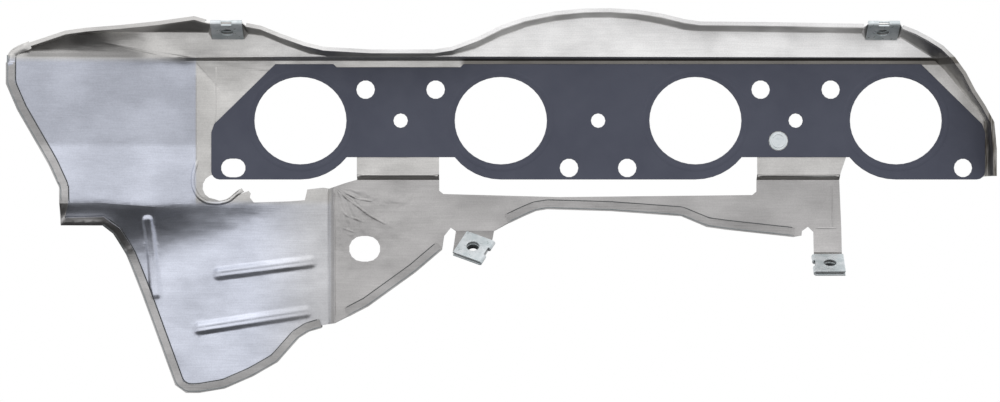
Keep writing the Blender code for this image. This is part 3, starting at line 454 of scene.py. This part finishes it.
# Pieces that keep the frame's shape: joined up, with rounded edges and smooth faces
def smoothPiece(node, body, material, look, press=None):
    source = frame["nodes"][node]
    bm = bmesh.new()
    bm.from_mesh(source.data)
    bmesh.ops.remove_doubles(bm, verts=bm.verts, dist=look["join"])
    if press:
        easeBends(bm, softLook, press)
    for edge in bm.edges:
        edge.smooth = edge.calc_face_angle(math.pi) < math.radians(look["sharp"])
    for face in bm.faces:
        face.smooth = True
    mesh = bpy.data.meshes.new(node + "Shown")
    bm.to_mesh(mesh)
    bm.free()
    mesh.materials.append(material)
    piece = bpy.data.objects.new(node + "_shown", mesh)
    bpy.context.scene.collection.objects.link(piece)
    if not press:
        bevel = piece.modifiers.new("edges", "BEVEL")
        bevel.width = look["round"]
        bevel.segments = 2
        bevel.limit_method = "ANGLE"
        bevel.angle_limit = math.radians(look["sharp"])
        bevel.use_clamp_overlap = True
    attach(piece, body)
    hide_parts(node)
    return piece


# A pressed bead round each port: a half-round profile carried along the port's outline
beadLook = {"pitch": 97.0 * mm, "middle": 94.2 * mm, "portZ": 22.9 * mm, "width": 44.6 * mm,
            "height": 42.3 * mm, "away": 2.4 * mm, "half": 1.3 * mm, "rise": 0.12 * mm, "sink": 0.02 * mm,
            "around": 128, "across": 10}


def portBeads(look, front, material):
    # An ellipse a little outside the port's own, widened across the bead; height = half a sine wave
    turn = -np.linspace(0.0, 2 * np.pi, look["around"], endpoint=False)[:, None]
    share = np.linspace(-1.0, 1.0, look["across"])[None, :]
    wide = look["width"] / 2 + look["away"] + look["half"] * share
    tall = look["height"] / 2 + look["away"] + look["half"] * share
    depth = front - look["rise"] * np.cos(share * np.pi / 2) + look["sink"] + 0.0 * turn
    first = look["middle"] / 2
    for index, x in enumerate((-first - look["pitch"], -first, first, first + look["pitch"])):
        grid = np.stack([x + wide * np.cos(turn), depth, look["portZ"] + tall * np.sin(turn)], axis=2)
        piece = gridPiece("port_bead_%d" % (index + 1), grid, material)
        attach(piece, "shield")


# Threaded barrel on the far leg of each clip nut: a tube whose inside follows a helix
barrelLook = {"fromEnd": 7.0 * mm, "start": 1.0 * mm, "end": 3.2 * mm, "inner": 2.3 * mm, "outer": 3.1 * mm,
              "thread": 0.3 * mm, "pitch": 1.0 * mm, "around": 48, "along": 40}


def nutPlace(spot, look):
    # The bolt's place in a clip nut: along runs on to the edge, outward is square to the nut's flat legs.
    axis = next(j["axis"] for j in frame["joints"] if j["child"] == "nut_" + spot)
    along = -np.array(axis) / np.linalg.norm(axis)
    mesh = frame["nodes"]["clip_nut_" + spot].data
    normals = np.array([f.normal for f in mesh.polygons])
    areas = np.array([f.area for f in mesh.polygons])
    outward = np.linalg.eigh((normals * areas[:, None]).T @ normals)[1][:, -1]
    outward = outward * -np.sign(outward[1])
    across = np.cross(outward, along)
    spots = np.array([v.co for v in mesh.vertices])
    middle = [(spots @ way).min() / 2 + (spots @ way).max() / 2 for way in (across, outward)]
    centre = along * ((spots @ along).max() - look["fromEnd"]) + across * middle[0] + outward * middle[1]
    return centre, along, across, outward


def threadBarrel(spot, look, material):
    # Radius inside = a triangle wave of turn plus height over pitch; then the rim and the outside
    centre, along, across, outward = nutPlace(spot, look)
    turn = np.linspace(0.0, 2 * np.pi, look["around"], endpoint=False)[:, None]
    height = np.linspace(look["start"], look["end"], look["along"])[None, :]
    wave = np.abs(2 * ((turn / (2 * np.pi) + height / look["pitch"]) % 1.0) - 1.0)
    inside = look["inner"] + look["thread"] * wave
    outside = look["outer"] + 0.0 * turn + np.zeros((1, 2))
    radius = np.concatenate([inside, outside], axis=1)
    level = np.concatenate([height, [[look["end"], look["start"]]]], axis=1) + 0.0 * turn
    grid = centre - outward * level[:, :, None]
    grid = grid + along * (radius * np.cos(turn))[:, :, None] + across * (radius * np.sin(turn))[:, :, None]
    piece = gridPiece("thread_barrel_" + spot, grid, material)
    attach(piece, "nut_" + spot)


# Ring pressed into the rivet's head
ringLook = {"x": 87.2 * mm, "z": 13.1 * mm, "radius": 3.2 * mm, "half": 0.35 * mm, "rise": 0.14 * mm,
            "sink": 0.02 * mm, "around": 64, "across": 8}


def rivetRing(look, front, material):
    # A circle carried along; height = half a sine wave across it
    turn = -np.linspace(0.0, 2 * np.pi, look["around"], endpoint=False)[:, None]
    share = np.linspace(-1.0, 1.0, look["across"])[None, :]
    radius = look["radius"] + look["half"] * share
    depth = front - look["rise"] * np.cos(share * np.pi / 2) + look["sink"] + 0.0 * turn
    grid = np.stack([look["x"] + radius * np.cos(turn), depth, look["z"] + radius * np.sin(turn)], axis=2)
    piece = gridPiece("rivet_ring", grid, material)
    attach(piece, "shield")


# Narrow folds, lips and creases raised on the sheet: corners of the run, half width, rise
stripLook = {"step": 0.7 * mm, "across": 8, "sink": 0.03 * mm, "easing": 6, "taper": 4.0}
strips = {
    "bridge_left": (((-0.1166, -0.0034), (-0.0776, -0.0034)), 0.7 * mm, 0.5 * mm),
    "bridge_right": (((0.0773, -0.0035), (0.1168, -0.0035)), 0.7 * mm, 0.5 * mm),
    "panel_edge": (((-0.1947, 0.0465), (-0.1947, 0.0), (-0.1956, -0.0050)), 0.45 * mm, 0.3 * mm),
    "base_crease": (((-0.1848, 0.0495), (-0.1850, 0.0270), (-0.1862, 0.0170)), 0.5 * mm, 0.16 * mm),
    "window_lip": (((-0.1940, 0.0040), (-0.1962, -0.0035), (-0.1962, -0.0090), (-0.1938, -0.0138),
                    (-0.1900, -0.0166), (-0.1840, -0.0172), (-0.1790, -0.0160), (-0.1745, -0.0120),
                    (-0.1722, -0.0106)), 1.1 * mm, 0.8 * mm),
    "seam_left": (((-0.1313, -0.0100), (-0.1306, -0.0750)), 0.4 * mm, 0.3 * mm),
    "seam_right": (((-0.1280, -0.0100), (-0.1276, -0.0740)), 0.45 * mm, 0.35 * mm),
    "crease_top": (((-0.1262, -0.0107), (-0.1165, -0.0149), (-0.1092, -0.0161)), 0.7 * mm, 0.2 * mm),
    "crease_long": (((-0.1268, -0.0112), (-0.1189, -0.0167), (-0.1111, -0.0228), (-0.1020, -0.0276)),
                    0.8 * mm, 0.25 * mm),
    "crease_short": (((-0.1262, -0.0175), (-0.1226, -0.0228), (-0.1129, -0.0264)), 0.8 * mm, 0.2 * mm),
    "crease_low": (((-0.1260, -0.0281), (-0.1212, -0.0301), (-0.1165, -0.0317)), 0.7 * mm, 0.15 * mm),
    "tab_fold": (((0.1133, -0.0066), (0.1140, -0.0290)), 0.45 * mm, 0.3 * mm),
    "tab_bend": (((0.1050, -0.0292), (0.1165, -0.0292)), 0.4 * mm, 0.2 * mm),
    "corner_hem": (((-0.2820, 0.0488), (-0.2820, 0.0530), (-0.2806, 0.0552), (-0.2770, 0.0570),
                    (-0.2725, 0.0588)), 1.9 * mm, 0.5 * mm),
}

# Painted shadow lines along the hems' free edges and rolls with painted shade along their folds: corners of the
# fold in millimetres
hemLook = {"hem": 4.0 * mm, "past": 0.15 * mm, "roll": 0.5 * mm, "half": 0.35 * mm, "rise": 0.1 * mm}
hemEdges = {
    "left": ((-283.8, 53.9), (-283.8, 40.3), (-278.6, 27.9), (-263.9, 1.7), (-258.8, -9.5), (-258.8, -17.0)),
    "lower": ((-239.3, -27.4), (-234.6, -31.4), (-228.8, -41.8), (-220.9, -61.9), (-205.1, -105.2),
              (-200.0, -108.9), (-193.7, -108.9), (-181.3, -106.8), (-167.7, -100.9), (-155.9, -94.1),
              (-145.4, -82.3), (-140.4, -79.2), (-134.3, -77.4)),
    "triangle": ((-121.0, -71.7), (-111.6, -66.8), (-88.6, -50.2), (-75.8, -39.3)),
    "strip": ((-43.2, -26.4), (-35.8, -22.9), (-30.2, -20.5), (-24.6, -19.6), (6.4, -20.5), (40.5, -23.0),
              (52.9, -28.2), (62.1, -29.5), (95.0, -33.1)),
}


def besideEdge(corners, distance):
    # The edge moved sideways, to the left of its run.
    corners = np.array(corners) * mm
    before = np.concatenate([corners[:1], corners[:-1]])
    after = np.concatenate([corners[1:], corners[-1:]])
    run = (after - before) / np.linalg.norm(after - before, axis=1)[:, None]
    return corners + distance * np.stack([-run[:, 1], run[:, 0]], axis=1)


def rounded(corners, look):
    # Even places along the run, with the corners eased by a running mean.
    corners = np.array(corners)
    lengths = np.concatenate([[0.0], np.cumsum(np.linalg.norm(np.diff(corners, axis=0), axis=1))])
    places = np.linspace(0.0, lengths[-1], int(lengths[-1] / look["step"]) + 2)
    run = np.stack([np.interp(places, lengths, corners[:, k]) for k in (0, 1)], axis=1)
    for _ in range(look["easing"]):
        run[1:-1] = (run[:-2] + 2 * run[1:-1] + run[2:]) / 4
    return run


def frontTree(pieces):
    # One tree over the shown sheet and skin, to read the front depth from.
    spots, faces = [], []
    for piece in pieces:
        faces += [[len(spots) + v for v in p.vertices] for p in piece.data.polygons]
        spots += [v.co for v in piece.data.vertices]
    return BVHTree.FromPolygons(spots, faces)


def sheetStrip(name, corners, half, rise, look, tree, material):
    # A half-round ridge on the front depth along the run, tapered at both ends
    run = rounded(corners, look)
    hits = [frontSpot(tree, x, z) for x, z in run]
    known = [k for k, spot in enumerate(hits) if spot]
    front = np.interp(np.arange(len(run)), known, [hits[k].y for k in known])
    away = np.gradient(run, axis=0)
    away = np.stack([-away[:, 1], away[:, 0]], axis=1) / np.linalg.norm(away, axis=1)[:, None]
    share = np.linspace(-1.0, 1.0, look["across"])
    fromEnd = np.minimum(np.arange(len(run)), np.arange(len(run))[::-1])
    taper = np.minimum(1.0, fromEnd / look["taper"])
    flat = run[:, None, :] + away[:, None, :] * half * share[None, :, None]
    depth = front[:, None] + look["sink"] - rise * taper[:, None] * np.cos(share * np.pi / 2)[None, :]
    grid = np.stack([flat[:, :, 0], depth, flat[:, :, 1]], axis=2)
    piece = gridPiece(name, grid, material, False)
    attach(piece, "shield")


gridLook = {"sharp": 75.0}


def gridPiece(name, grid, material, ring=True):
    # A mesh over a grid of points, closed across, and also round its first direction if it is a ring.
    rows, columns = grid.shape[:2]
    index = np.arange(rows * columns).reshape(rows, columns)
    a, b = index, np.roll(index, -1, axis=0)
    if not ring:
        a, b = a[:-1], b[:-1]
    quads = np.stack([a, b, np.roll(b, -1, axis=1), np.roll(a, -1, axis=1)], axis=2).reshape(-1, 4)
    mesh = bpy.data.meshes.new(name)
    mesh.from_pydata(grid.reshape(-1, 3).tolist(), [], quads.tolist())
    mesh.polygons.foreach_set("use_smooth", np.ones(len(quads), bool))
    mesh.set_sharp_from_angle(angle=math.radians(gridLook["sharp"]))
    mesh.materials.append(material)
    piece = bpy.data.objects.new(name, mesh)
    bpy.context.scene.collection.objects.link(piece)
    return piece


bpy.context.scene.view_settings.view_transform = "Standard"
addCamera(cameraLook)
addWorld(lightLook)
for name, look in softboxLook.items():
    addSoftbox(name, look)
print("camera and light")

coating = gasketPaint()
sheetSteel = steelPaint("sheetSteel", steelLook, 1.0)
skinSteel = steelPaint("skinSteel", dict(steelLook, cool=(0.62, 0.61, 0.6)), 0.8)
zinc = zincPaint("zincPlate", 1.0)
# Near-black zinc on the threads is painted shade for the nuts' threaded holes
threadShade = zincPaint("shadedThread", 0.12)
# Painted shade: a near-black strip at each hem's free edge and a darker roll along its fold
hemShadowTone = zincPaint("hemShadow", 0.16)
rollShade = zincPaint("hemRollShade", 0.4)
fibre = matPaint()
edgeLook = {"join": 1e-6, "sharp": 38.0, "round": 0.12 * mm}
press = pressField(softLook)
sheet = smoothPiece("heat_shield_sheet", "shield", sheetSteel, edgeLook, press)
skin = smoothPiece("shield_outer_skin", "shield", skinSteel, edgeLook, press)
smoothPiece("insulation_mat", "shield", fibre, edgeLook, press)
smoothPiece("gasket_front_layer", "shield", coating, edgeLook)
smoothPiece("gasket_rear_layer", "shield", coating, edgeLook)
smoothPiece("rivet", "shield", zinc, edgeLook)
print("shield and gasket")
for spot in ("top_left", "top_right", "lower_middle", "lower_right"):
    smoothPiece("clip_nut_" + spot, "nut_" + spot, zinc, edgeLook)
    threadBarrel(spot, barrelLook, threadShade)
print("clip nuts")
portBeads(beadLook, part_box("gasket_front_layer")[0][1], coating)
fronts = frontTree((sheet, skin))
for name, (corners, half, rise) in strips.items():
    sheetStrip(name, corners, half, rise, stripLook, fronts, sheetSteel)
for name, corners in hemEdges.items():
    freeEdge = besideEdge(corners, hemLook["hem"] + hemLook["past"])
    roll = besideEdge(corners, hemLook["roll"])
    for kind, run, tone in (("shadow_line", freeEdge, hemShadowTone), ("roll", roll, rollShade)):
        sheetStrip("hem_%s_%s" % (kind, name), run, hemLook["half"], hemLook["rise"], stripLook, fronts, tone)
rivetRing(ringLook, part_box("rivet")[0][1], zinc)
print("port beads, strips and rivet ring")
